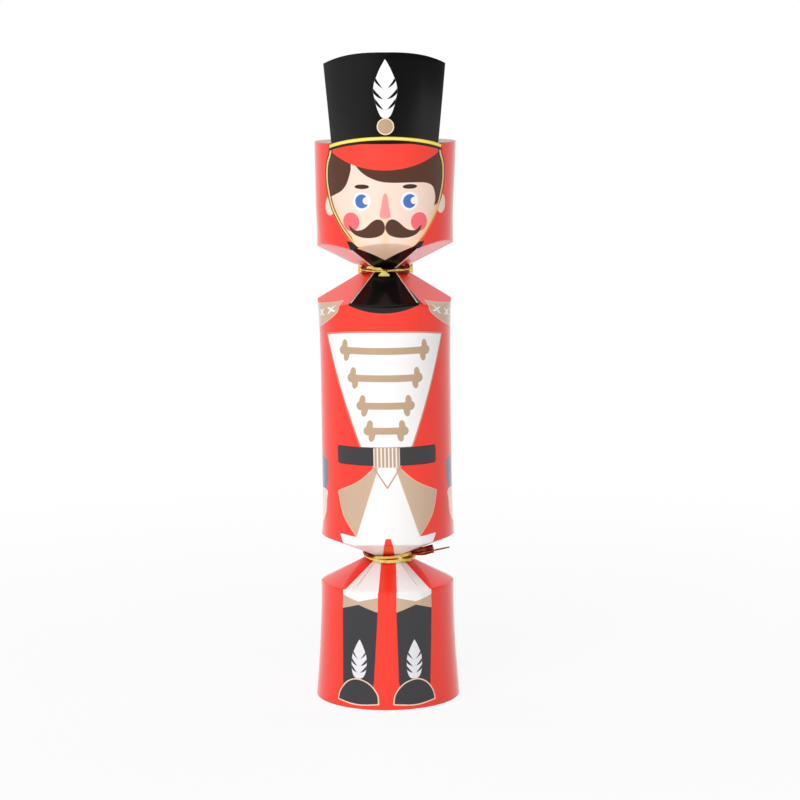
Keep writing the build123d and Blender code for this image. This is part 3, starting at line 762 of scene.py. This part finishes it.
head_print = printed_finish(
    "head_print",
    red,
    (
        ("ears", flesh, 0.08, 1.0),
        ("ears", ink(247, 192, 166), 0.1, 0.8, 0.14),
        ("face", flesh, 0.06, 1.0),
        ("jaw", ink(252, 201, 147), 1.8, 0.6),
        ("chin_shade", ink(225, 164, 145), 6.0, 0.7),
        ("hair", ink(82, 42, 21), 0.06, 1.0),
        ("peak", ink(252, 62, 47), 0.06, 1.0),
        ("strap_edge", black, 0.1, 1.0, 1.0),
        ("strap", ink(252, 208, 119), 0.12, 1.0, 0.44),
        ("hat", black, 0.06, 1.0),
        ("cord_shadow", black, 0.08, 1.0, 0.6, None, "cord_span"),
        ("cord", ink(252, 214, 66), 0.06, 1.0, 0.58, None, "cord_span"),
        ("cord", ink(252, 252, 142), 0.25, 0.8, 0.22, None, "cord_span"),
        ("plume", white, 0.06, 1.0),
        ("plume_cuts", black, 0.06, 1.0, 0.3, None, "plume"),
        ("cockade", ink(195, 164, 134), 0.06, 1.0),
        ("cockade", ink(252, 234, 210), 0.08, 1.0, 0.17),
        ("eyes", white, 0.06, 1.0),
        ("irises", ink(70, 114, 194), 0.06, 1.0),
        ("cheeks", ink(252, 101, 110), 0.08, 0.95),
        ("nose", ink(252, 153, 153), 0.08, 1.0),
        ("brows", ink(62, 34, 27), 0.06, 1.0),
        ("moustache", ink(82, 45, 27), 0.06, 1.0),
        ("lapels", black, 0.06, 1.0),
        ("cut", white, 0.1, 0.9),
    ),
    "dull",
)
head_card = card_sheet("head_card", head_points, head_cells, card, (head_print, *bare_sides), head_plates)
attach(head_card, "head")
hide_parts("head_wrap")

# Lap seam: the left edge of each sheet steps in under the right edge and runs on as a glue flap.
# It is the same card, held by double-sided tape, and shows only inside the open ends and in the seam's slit.
# The flap's angles are in degrees from the front.
tape = 0.2
tuck = 0.12
flap_start, flap_bend, flap_end = 149.0, 151.0, 175.0
step_start, step_run = 149.3, 1.4
flap_red = paper_finish("flap_print", red, 0.36, 0.03)
tape_film = paper_finish("tape_film", ink(226, 222, 206), 0.25, 0.12)


def seam_flap(name, body, tape_node, levels, radii):
    """Strip as tall as its tape, under a wall whose radius runs evenly between two levels: it starts inside
    the wall's edge, steps in by a card and the tape within a millimetre, and runs on round the tube."""
    low, high = (corner.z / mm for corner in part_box(tape_node))
    height = np.linspace(low, high, 30)[:, None]
    angle = np.concatenate((np.linspace(flap_start, flap_bend, 9), np.linspace(flap_bend + 1, flap_end, 24)))
    step = np.clip((angle - step_start) / step_run, 0, 1)
    step = step * step * (3 - 2 * step)
    radius = np.interp(height, levels, radii) - tuck - step * (card + tape - tuck)
    turn, height = np.broadcast_arrays(np.radians(angle), height)
    points = around(radius, turn, height)
    cells = np.ones((len(points) - 1, len(angle) - 1), bool)
    flap = card_sheet(name, points, cells, card, (flap_red, *bare_sides), {})
    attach(flap, body)


def coat_solids(finish, *names):
    """Give the frame's solids with these names a finish."""
    for name in names:
        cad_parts[name].material_slots[0].material = finish


seam_flap("barrel_flap", "barrel", "barrel_seam_tape", (lower_waist, upper_waist), (tube, tube))
seam_flap("foot_flap", "foot", "foot_seam_tape", (0, foot_crease_level), (foot_rim, tube))
seam_flap("head_flap", "head", "head_seam_tape", (head_crease_level, head_rim), (tube, rim_radius))
coat_solids(tape_film, "barrel_seam_tape", "foot_seam_tape", "head_seam_tape")

# Gold ties: metallised ribbon gathered round a thin wire, drawn tight on the hexagonal waists and twisted.
# The upper one is knotted flat at the front; the lower one ends in a crumpled tail with its wire bare.


def foil_finish(name, light, deep, metal):
    """Foil: metal whose colour runs from light to deep in patches over its creases, a painted reflection,
    with scuffed streaks of gloss.
    """
    material, tree, shader = blank_finish(name)
    place = wired(tree, "TexCoord", {})["Object"]
    creases_and_reflections = wired(tree, "TexNoise", {"Vector": place, "Scale": 420.0, "Detail": 4.0})["Fac"]
    # Painted reflection: the colour turns from the light tone to the deep one over the creases.
    tone = blended(tree, ramp(tree, creases_and_reflections, (0.42, 0.62)), light, deep)
    scuff = ramp(tree, creases_and_reflections, (0.0, 1.0), (0.12, 0.34))
    bump = wired(tree, "Bump", {"Distance": 0.00012, "Height": creases_and_reflections})["Normal"]
    feed(tree, shader, {"Metallic": metal, "Base Color": tone, "Roughness": scuff, "Normal": bump})
    return material


def gathered(path, outward, thick, tall, seed, closed=False, crumple=1.0):
    """Ribbon gathered along a path: an oval section at each point, thick along outward and tall along the
    other way across the path, pushed in and out by folded waves that run slantwise along it, with both ends
    closed."""
    ahead = np.roll(path, -1, 0) - np.roll(path, 1, 0) if closed else np.gradient(path, axis=0)
    ahead /= np.linalg.norm(ahead, axis=1, keepdims=True)
    upward = np.cross(ahead, outward)
    upward /= np.linalg.norm(upward, axis=1, keepdims=True)
    length = np.cumsum(np.linalg.norm(np.diff(path, axis=0, prepend=path[:1]), axis=1))
    count = 14
    v = np.linspace(0, 2 * np.pi, count, endpoint=False)
    rng = np.random.default_rng(seed)
    push = np.ones((len(path), count))
    for size, pitch in ((0.26, 2.6), (0.16, 1.4), (0.08, 0.8)):
        waves = max(1, round(length[-1] / pitch))
        turns = rng.integers(1, 4)
        phase = length[:, None] / length[-1] * waves + turns * v[None, :] / (2 * np.pi) + rng.random()
        push += crumple * size * (4 * np.abs(phase % 1 - 0.5) - 1)
    push += 0.10 * crumple * (rng.random(push.shape) - 0.5)
    ring = (
        path[:, None]
        + outward[:, None] * (thick[:, None] * np.cos(v) * push)[..., None]
        + upward[:, None] * (tall[:, None] * np.sin(v) * (0.85 + 0.15 * push))[..., None]
    )
    index = np.arange(len(path) * count).reshape(len(path), count)
    if closed:
        index = np.concatenate((index, index[:1]))
    index = np.concatenate((index, index[:, :1]), 1)
    quads = np.stack((index[:-1, :-1], index[1:, :-1], index[1:, 1:], index[:-1, 1:]), -1).reshape(-1, 4)
    if not closed:
        k = np.arange(count // 2 - 1)
        cap = np.stack((k, k + 1, count - 2 - k, count - 1 - k), -1)
        quads = np.concatenate((quads, cap, (index[-1, 0] + cap)[:, ::-1]))
    return ring.reshape(-1, 3), quads


def tucked(points, level, above, below, lift):
    """Points drawn in towards the waist's level where they would pass through a panel. A point rises or falls
    at most as far as the panel does, by its slope and bow, where it reaches the point's radius. On the left
    the panel above stands out by the lift."""
    turn = np.arctan2(points[:, 0], -points[:, 1])
    delta = (turn + half_panel) % (2 * half_panel) - half_panel
    waist = waist_apothem / np.cos(delta)
    past = np.hypot(points[:, 0], points[:, 1]) - waist - 0.1
    stood_out = lift * np.clip(-np.sin(turn), 0, 1) ** 2
    top, bottom = (
        waist_flat + np.maximum(reach, 0) / (tube - waist) * (crease_rise(delta, *neck) - waist_flat)
        for reach, neck in ((past - stood_out, above), (past, below))
    )
    points[:, 2] = level + np.clip(points[:, 2] - level, -bottom, top)
    return points


def foil_piece(name, ribbons, body, waist):
    """One object of several gathered ribbons, each bright gold or gold painted dark red-brown as painted
    shade and painted dark reflection, flat-faced like creased foil and tucked in at the waist, which is its
    level, the slope and bow of the panels above and below, and the lift."""
    starts = np.cumsum([0] + [len(points) for (points, _), _ in ribbons[:-1]])
    points = np.concatenate([points for (points, _), _ in ribbons])
    quads = np.concatenate([quads + start for ((_, quads), _), start in zip(ribbons, starts)])
    kind = np.repeat([tone for _, tone in ribbons], [len(quads) for (_, quads), _ in ribbons])
    piece = quad_mesh(name, tucked(points, *waist), quads, kind, (bright_foil, shaded_foil), {})
    piece.data.shade_flat()
    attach(piece, body)
    return piece


def neck_loop(level, seed, thick, tall, bulges):
    """Closed ribbon round a waist, swollen at the bulges, which are angle, width, thickness and height."""
    turn = np.linspace(0, 2 * np.pi, 120, endpoint=False)
    swell = np.zeros((2, len(turn)))
    for at, wide, more_thick, more_tall in bulges:
        off = (turn - np.radians(at) + np.pi) % (2 * np.pi) - np.pi
        swell += np.array([[more_thick], [more_tall]]) * np.exp(-((off / np.radians(wide)) ** 2))
    loop_radius = 8.42 + 0.12 * np.cos(6 * turn)
    path = around(loop_radius + 0.4 * swell[0], turn, level + 0.12 * np.sin(3 * turn + seed))
    return gathered(path, around(1.0, turn, 0 * turn), thick + 0.6 * swell[0], tall + swell[1], seed, True)


def strands(level, tone, runs):
    """Ribbons of one tone, by seed, each laid along marks of angle, radius, height above the level, half
    thickness and half height."""
    ribbons = []
    for seed, marks in runs.items():
        marks = np.array(marks, float)
        at = np.arange(len(marks))
        run = np.stack([bent(np.stack((at, marks[:, k]), 1), steps=7)[:, 1] for k in range(5)])
        turn = np.radians(run[0])
        thick, tall = np.maximum(run[3:], 0.05)
        path = around(run[1], turn, level + run[2])
        ribbons.append((gathered(path, around(1.0, turn, 0 * turn), thick, tall, seed), tone))
    return ribbons


def fan(start, end, outward, half, seed):
    """Ribbon end pressed flat and spread out: from a narrow start it widens to its half width at the end."""
    share = np.linspace(0, 1, 8)
    path = np.array(start) + share[:, None] * (np.array(end) - np.array(start))
    out = np.tile(np.array(outward, float), (len(share), 1))
    return gathered(path, out, 0.25 + 0.2 * share, 0.2 + (half - 0.2) * np.sin(share * np.pi / 2), seed)


# Both foils are the ties' gold: the bright one, and a dark red-brown one that is painted shade and painted
# dark reflection on the same gold.
bright_foil = foil_finish("bright_foil", ink(255, 242, 142), ink(250, 212, 94), 0.3)
shaded_foil = foil_finish("shaded_foil", ink(150, 66, 28), ink(84, 26, 14), 0.8)
bright, shaded = 0, 1
upper = upper_waist
left_lift = 1.6
upper_necks = (upper, (panel_slope(head_funnel - 1), head_bow), (shoulder_slope, front_bow), left_lift)
upper_bulges = (
    (180, 70, 0.3, 0.4), (66, 26, 0.6, 0.9), (-66, 26, 0.6, 0.9), (86, 12, 0.2, 0.3), (-86, 12, 0.2, 0.3),
)
upper_strands = {
    5: (
        (84, 9.2, 0.1, 0.25, 0.22), (50, 9.6, 0, 0.25, 0.24), (26, 9.6, 0.1, 0.35, 0.42),
        (4, 9.6, -0.1, 0.3, 0.2),
    ),
    8: (
        (-84, 9.2, -0.1, 0.2, 0.2), (-50, 9.6, -0.2, 0.2, 0.2), (-20, 9.5, -0.3, 0.3, 0.3),
        (2, 9.5, -0.2, 0.3, 0.2),
    ),
    11: (
        (-48, 9.0, 0.6, 0.3, 0.3), (-36, 9.4, 1.1, 0.45, 0.7), (-22, 9.5, 0.7, 0.4, 0.55),
        (-14, 9.5, 0.2, 0.3, 0.2),
    ),
    12: ((-19, 9.5, 1.0, 0.3, 0.3), (-11, 9.7, 0.6, 0.35, 0.45), (-4, 9.7, 0.1, 0.3, 0.25)),
}
upper_foil = foil_piece(
    "upper_foil",
    [
        # The dark loop is painted shade: its swellings beside the knot fill the shaded hollows of the waist.
        (neck_loop(upper, 3, 0.32, 0.7, upper_bulges), shaded),
        (fan((7.9, -3.0, upper), (10.1, -2.4, upper + 0.1), (0, -1, 0), 1.75, 21), bright),
        (fan((-7.9, -3.0, upper - 0.2), (-9.9, -2.4, upper), (0, -1, 0), 1.45, 22), bright),
        (fan((-0.35, -9.5, upper), (-0.35, -9.8, upper - 2.0), (0, -1, 0.1), 2.1, 23), bright),
        *strands(upper, bright, upper_strands),
    ],
    "head",
    upper_necks,
)
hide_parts("upper_tie_foil")
lower = lower_waist
lower_necks = (lower, (hem_slope, hem_bow), (foot_slope, foot_bow), 0.0)
# The dark strands of the lower tie are painted shade and painted dark reflection on the gold foil.
shaded_strands = {
    9: ((-78, 9.0, 1.0, 0.3, 0.5), (-50, 9.3, 0.9, 0.4, 0.65), (-26, 9.4, 0.4, 0.3, 0.4)),
    10: ((30, 9.4, 0.2, 0.3, 0.6), (56, 9.6, 0.3, 0.35, 0.9), (78, 9.7, 0.4, 0.3, 0.7)),
}
bright_strands = {
    13: (
        (-66, 9.1, 0.2, 0.3, 0.3), (-32, 9.4, -0.5, 0.35, 0.5), (0, 9.6, -0.95, 0.4, 0.68),
        (30, 9.6, -0.85, 0.4, 0.6), (52, 9.4, -0.6, 0.3, 0.4),
    ),
    12: (
        (-32, 9.4, 0.35, 0.3, 0.3), (-14, 9.7, 0.5, 0.4, 0.5), (12, 9.8, 0.65, 0.4, 0.5),
        (34, 9.8, 0.85, 0.45, 0.7), (50, 9.6, 1.3, 0.4, 0.5), (66, 9.4, 1.0, 0.3, 0.35),
    ),
    16: (
        (26, 9.7, 0.1, 0.5, 0.6), (42, 9.9, 1.1, 0.55, 0.7), (58, 10.1, 1.3, 0.55, 0.7),
        (76, 10.3, 0.8, 0.55, 0.6), (80, 10.3, -0.2, 0.5, 0.6), (66, 10.2, -0.9, 0.5, 0.6),
        (48, 10.0, -1.0, 0.5, 0.6), (34, 9.8, -0.5, 0.5, 0.5), (26, 9.7, 0.0, 0.35, 0.4),
    ),
}
lower_foil = foil_piece(
    "lower_foil",
    [
        (neck_loop(lower, 6, 0.34, 0.6, ((180, 70, 0.3, 0.6),)), shaded),
        *strands(lower, shaded, shaded_strands),
        *strands(lower, bright, bright_strands),
    ],
    "foot",
    lower_necks,
)
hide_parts("lower_tie_foil")
tail_length = 9.8
tail_thick, tail_tall = 0.5, 1.6
tail_side, tail_rise = np.radians((20, 11))
tail_root = around(9.4, np.radians(58.0), lower + 1.5)
tail_way = np.array((np.cos(tail_side), -np.sin(tail_side), np.tan(tail_rise)))
tail_way /= np.linalg.norm(tail_way)
tail_share = np.linspace(0, 1, 22)
tail_path = tail_root + tail_length * tail_share[:, None] * tail_way
tail_path[:, 2] += 0.2 * np.sin(8 * tail_share)
tail_out = np.tile(np.cross(tail_way, (0, 0, 1)), (len(tail_share), 1))
tail_grow = np.minimum(1, 0.5 + 2.5 * np.minimum(tail_share, 1.2 - tail_share))
tail_ribbon = gathered(tail_path, tail_out, tail_thick * tail_grow, tail_tall * tail_grow, 14, crumple=0.4)
# The tail is the gold foil painted dark red-brown: painted shade and painted dark reflection.
foil_piece("lower_tie_tail", [(tail_ribbon, shaded)], "foot", lower_necks)
# The wire's brass also carries painted reflection in its light and deep patches.
wire_brass = foil_finish("wire_brass", ink(206, 132, 74), ink(140, 78, 40), 1.0)
coat_solids(wire_brass, "upper_tie_wire", "lower_tie_wire")

# Snap: two strips of grey board that slide past each other in a paper band, with a friction patch on each.
# A glue pad fixes each strip's bent tab under a neck panel.
strip_board = paper_finish("strip_board", ink(206, 196, 178), 0.8, 0.18, 0.00003)
band_paper = paper_finish("band_paper", ink(236, 230, 216), 0.7, 0.1)
glue = paper_finish("glue", ink(222, 206, 160), 0.3, 0.2)
charge_grit = paper_finish("charge_grit", ink(62, 58, 60), 0.9, 0.5, 0.00006)
striker_grit = paper_finish("striker_grit", ink(112, 60, 46), 0.9, 0.5, 0.00006)
coat_solids(strip_board, "snap_upper_strip", "snap_lower_strip")
coat_solids(band_paper, "snap_band")
coat_solids(glue, "snap_upper_pad", "snap_lower_pad")
coat_solids(charge_grit, "snap_charge")
coat_solids(striker_grit, "snap_striker")

# Paper crown and motto: a tissue hat folded flat and rolled up, with its points at the top edge and a
# paper band round it, and the motto's slip rolled small inside it. They stand loose in the barrel.


def rolled(name, node, bore, turns, thickness, notch, finish):
    """Sheet rolled up in the node's box: its radius grows evenly with the turn from the bore to the outside,
    it ripples a little along its height, and its top edge is cut in points as deep as the notch."""
    clearance, ripple_depth, inset = 0.15, 0.05, 0.03
    low, high = (np.array(corner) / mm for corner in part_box(node))
    centre = (low + high) / 2
    outside = (high[0] - low[0]) / 2 - clearance
    turn = np.linspace(0, 2 * np.pi * turns, int(70 * turns))[None, :]
    share = np.linspace(0, 1, 60)[:, None]
    grow = turn / turn.max()
    reach = bore / 2 + (outside - bore / 2) * grow
    unrolled = np.cumsum(reach * (turn[0, 1] - turn[0, 0]), 1)
    points_cut = notch * np.abs((unrolled / (2.2 * max(notch, 1))) % 2 - 1)
    height = low[2] + share * (high[2] - low[2] - points_cut)
    radius = reach + ripple_depth * np.sin(7 * turn + 9 * share) * np.sin(np.pi * share) - inset
    points = around(radius, turn * np.ones_like(share), height * np.ones_like(turn))
    points[..., :2] += centre[:2]
    cells = np.ones((len(share) - 1, turn.shape[1] - 1), bool)
    return card_sheet(name, points, cells, thickness, (finish,), {})


tissue = paper_finish("tissue", ink(220, 178, 62), 0.65, 0.16, 0.00004)
crown = rolled("tissue_crown", "paper_crown", 4.4, 3.5, 0.3, 7.0, tissue)
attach(crown, "crown")
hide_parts("paper_crown")
coat_solids(paper_finish("crown_band_paper", ink(244, 240, 232), 0.6, 0.08), "crown_band")
motto_paper = paper_finish("motto_paper", ink(246, 242, 230), 0.7, 0.06)
slip = rolled("motto_roll", "motto_slip", 2.2, 2.0, 0.12, 0.0, motto_paper)
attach(slip, "motto")
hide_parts("motto_slip")

# Gift: a small turned wooden top, its disc painted and its spindle left bare.
# The spindle is glued in the disc and comes to a blunt point.


def wood_finish(name, light, dark, gloss, rings):
    """Wood: colour bands from a wave stretched along the grain, and a fine bump of the same grain."""
    material, tree, shader = blank_finish(name)
    place = wired(tree, "TexCoord", {})["Object"]
    stretch = wired(tree, "Mapping", {"Vector": place, "Scale": (1.0, 1.0, 0.15)})["Vector"]
    wave = {"Vector": stretch, "Scale": rings, "Distortion": 6.0, "Detail": 3.0}
    grain = wired(tree, "TexWave", wave)["Fac"]
    rough = ramp(tree, grain, (0.0, 1.0), (gloss, gloss + 0.15))
    bump = wired(tree, "Bump", {"Distance": 0.00005, "Height": grain})["Normal"]
    tone = blended(tree, grain, light, dark)
    feed(tree, shader, {"Base Color": tone, "Roughness": rough, "Normal": bump})
    return material


disc_paint = wood_finish("painted_disc", ink(198, 44, 38), ink(168, 30, 28), 0.3, 260)
bare_wood = wood_finish("bare_spindle", ink(222, 188, 140), ink(186, 142, 92), 0.5, 300)
coat_solids(disc_paint, "top_disc")
coat_solids(bare_wood, "top_spindle")

# Studio: a pale floor that runs out of sight, with white behind. A large soft key stands at the upper left
# in front, with a low fill, a lamp overhead and a rim lamp behind on each side.
# The camera stands a little above the hat and looks slightly down, as in the photograph.
floor_mesh = bpy.data.meshes.new("floor")
floor_mesh.from_pydata(np.array(((-6, -3, 0), (6, -3, 0), (6, 9, 0), (-6, 9, 0))), [], [(0, 1, 2, 3)])
floor = bpy.data.objects.new("floor", floor_mesh)
bpy.context.scene.collection.objects.link(floor)
floor_white, tree, shader = blank_finish("floor_white")
feed(tree, shader, {"Base Color": (0.93, 0.93, 0.93, 1), "Roughness": 0.8})
glow = wired(tree, "Emission", {"Color": (1, 1, 1, 1)})[0]
rays = wired(tree, "LightPath", {})
far = wired(tree, "VectorMath", {0: wired(tree, "TexCoord", {})["Object"]}, operation="LENGTH")["Value"]
paler = ramp(tree, far, (0.1, 0.5), (0.88, 1.0), "SMOOTHSTEP")
glints = reckoned(tree, "MAXIMUM", rays["Is Glossy Ray"], rays["Is Transmission Ray"])
shown = reckoned(tree, "MULTIPLY", reckoned(tree, "MAXIMUM", rays["Is Camera Ray"], glints), paler)
matt = tree.nodes["Principled BSDF"].outputs[0]
blend = wired(tree, "MixShader", {0: shown, 1: matt, 2: glow})[0]
feed(tree, tree.nodes["Material Output"].inputs, {"Surface": blend})
floor_mesh.materials.append(floor_white)

world = bpy.data.worlds.new("studio")
bpy.context.scene.world = world
world.use_nodes = True
tree = world.node_tree
rays = wired(tree, "LightPath", {})
heading = wired(tree, "SeparateXYZ", {0: wired(tree, "TexCoord", {})["Generated"]})
sideways = ramp(tree, heading["X"], (-0.8, 0.3), (0.5, 0.05), "SMOOTHSTEP")
behind = ramp(tree, heading["Y"], (0.42, 0.50), kind="SMOOTHSTEP")
glints = reckoned(tree, "MAXIMUM", rays["Is Glossy Ray"], rays["Is Transmission Ray"])
lit = blended(tree, glints, 0.35, blended(tree, behind, sideways, 1.0, "FLOAT"), "FLOAT")
seen = blended(tree, rays["Is Camera Ray"], lit, 1.0, "FLOAT")
feed(tree, tree.nodes["Background"].inputs, {"Color": (1, 1, 1, 1), "Strength": seen})


def softbox(name, place, target, size, power, mirrored):
    """Flat rectangular lamp at a place, facing the target, which gloss shows only where mirrored is true."""
    lamp = bpy.data.lights.new(name, "AREA")
    lamp.shape = "RECTANGLE"
    lamp.size, lamp.size_y = size
    lamp.energy = power
    holder = bpy.data.objects.new(name, lamp)
    bpy.context.scene.collection.objects.link(holder)
    holder.visible_camera = False
    holder.visible_glossy = mirrored
    aim = Vector(place) - Vector(target)
    holder.matrix_world = Matrix.Translation(place) @ aim.to_track_quat("Z", "Y").to_matrix().to_4x4()


softbox("key", (-0.45, -1.0, 0.45), (0, 0, 0.12), (0.8, 1.0), 7.0, False)
softbox("low_fill", (0.05, -0.9, 0.06), (0, 0, 0.14), (0.9, 0.1), 0.66, False)
softbox("overhead", (0.0, -0.45, 1.05), (0, 0, 0.1), (0.8, 0.6), 2.2, True)
softbox("left_rim", (-0.64, 0.70, 0.6), (0, 0, 0.4), (0.75, 1.1), 2.5, False)
softbox("right_rim", (0.66, 0.72, 0.6), (0, 0, 0.4), (0.7, 1.1), 2.5, False)

look_down, roll = np.radians((8.41, 0.36))
camera_data = bpy.data.cameras.new("camera")
camera_data.sensor_width = 36.0
camera_data.lens = 113.74
camera = bpy.data.objects.new("camera", camera_data)
bpy.context.scene.collection.objects.link(camera)
camera.matrix_world = (
    Matrix.Translation((0.0051, -0.923, 0.247))
    @ Matrix.Rotation(np.pi / 2 - look_down, 4, "X")
    @ Matrix.Rotation(-roll, 4, "Z")
)
bpy.context.scene.camera = camera
bpy.context.scene.view_settings.view_transform = "Standard"
